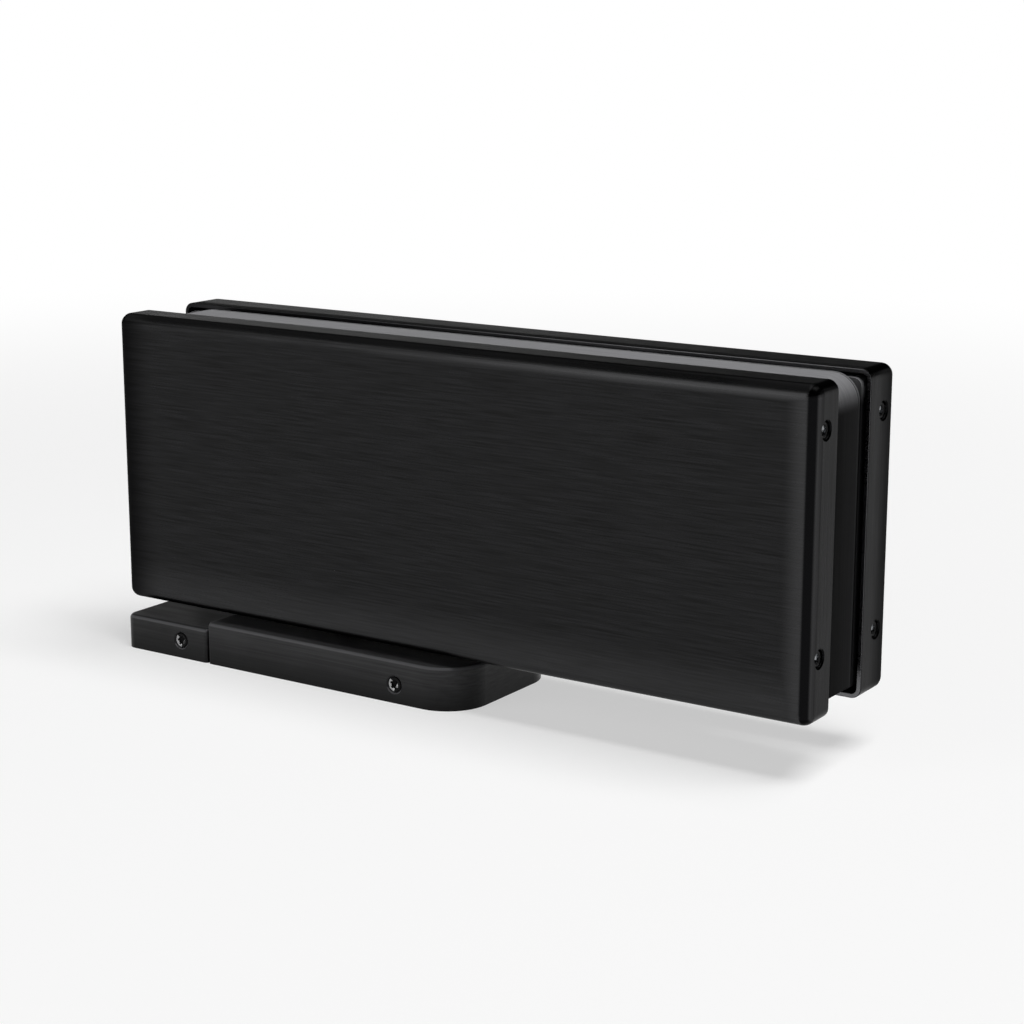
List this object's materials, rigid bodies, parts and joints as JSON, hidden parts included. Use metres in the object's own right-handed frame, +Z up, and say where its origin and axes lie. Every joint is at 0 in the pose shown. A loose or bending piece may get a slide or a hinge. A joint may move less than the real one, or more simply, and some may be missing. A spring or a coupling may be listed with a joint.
{
  "type": "hydraulic hinge",
  "caption": "Black hydraulic patch hinge for a frameless glass door: a clamp with brushed covers and a hidden cam, piston and spring that swings on a low two-piece floor unit.",
  "frame": {"origin": "on the floor, under the spindle axis", "axes": "+X along the closed leaf to its free end, +Y from the front half to the rear half, +Z up"},
  "size_m": [0.2, 0.0434, 0.0885],
  "materials": {
    "black_brushed_cover": "black coated stainless steel, brushed lengthwise",
    "black_satin_hood": "black satin coat",
    "black_screw": "black oxide",
    "plain_screw": "plain steel, zinc plated",
    "cast_body": "die cast, blasted and grey coated",
    "clamp_metal": "die cast, blasted",
    "gasket": "grey fibre gasket",
    "zinc_plate": "zinc plated",
    "ground_steel": "hardened and ground",
    "spring_steel": "oiled spring steel",
    "bronze": "sintered bronze",
    "turned_plug": "turned, zinc plated",
    "seal_rubber": "nitrile rubber"
  },
  "bodies": {
    "floor_unit": {"floor_plate": "zinc_plate", "floor_cover": "black_satin_hood", "end_cover": "black_satin_hood", "floor_cover_screws": "plain_screw", "pivot_seat": "zinc_plate", "pivot_seat_screws": "plain_screw", "spindle": "ground_steel", "cam": "ground_steel"},
    "leaf": {"hydraulic_body": "cast_body", "front_pad": "gasket", "front_cover": "black_brushed_cover", "front_cover_screws": "black_screw", "bottom_gland": "turned_plug", "spindle_seal": "seal_rubber", "lower_bush": "bronze", "upper_bush": "bronze", "thrust_disc": "bronze", "top_plug": "turned_plug", "end_plug": "turned_plug", "end_plug_seal": "seal_rubber", "cam_end_plug": "turned_plug", "cam_end_seal": "seal_rubber", "fill_plug": "turned_plug", "return_spring": "spring_steel"},
    "piston_group": {"piston": "ground_steel", "piston_seal": "seal_rubber", "roller_pin": "ground_steel", "check_ball": "ground_steel", "check_retainer": "bronze"},
    "roller": {"cam_roller": "ground_steel"},
    "closing_valve_group": {"closing_valve": "turned_plug", "closing_valve_seal": "seal_rubber"},
    "latching_valve_group": {"latching_valve": "turned_plug", "latching_valve_seal": "seal_rubber"},
    "rear_half": {"clamp_plate": "clamp_metal", "rear_pad": "gasket", "rear_cover": "black_brushed_cover", "rear_cover_screws": "black_screw", "clamp_bolts": "plain_screw"}
  },
  "joints": [
    {"name": "leaf_swing", "type": "hinge", "parent": "floor_unit", "child": "leaf", "pos_m": [0, 0, 0.013], "axis": [0, 0, 1], "range_deg": [-90, 90], "stiffness_Nm_per_rad": 5},
    {"name": "piston_slide", "type": "slide", "parent": "leaf", "child": "piston_group", "axis": [1, 0, 0], "range_m": [0, 0.004], "stiffness_N_per_m": 9000, "deforming": ["return_spring"]},
    {"name": "roller_spin", "type": "hinge", "parent": "piston_group", "child": "roller", "pos_m": [0.01485, 0, 0.0405], "axis": [0, 0, 1], "continuous": true},
    {"name": "closing_valve_turn", "type": "hinge", "parent": "leaf", "child": "closing_valve_group", "pos_m": [0.05605, -0.01125, 0.0565], "axis": [0, 1, 0], "range_deg": [-180, 180]},
    {"name": "latching_valve_turn", "type": "hinge", "parent": "leaf", "child": "latching_valve_group", "pos_m": [0.07605, -0.01125, 0.0565], "axis": [0, 1, 0], "range_deg": [-180, 180]},
    {"name": "clamp_slide", "type": "slide", "parent": "leaf", "child": "rear_half", "axis": [0, 1, 0], "range_m": [0, 0.008]}
  ]
}
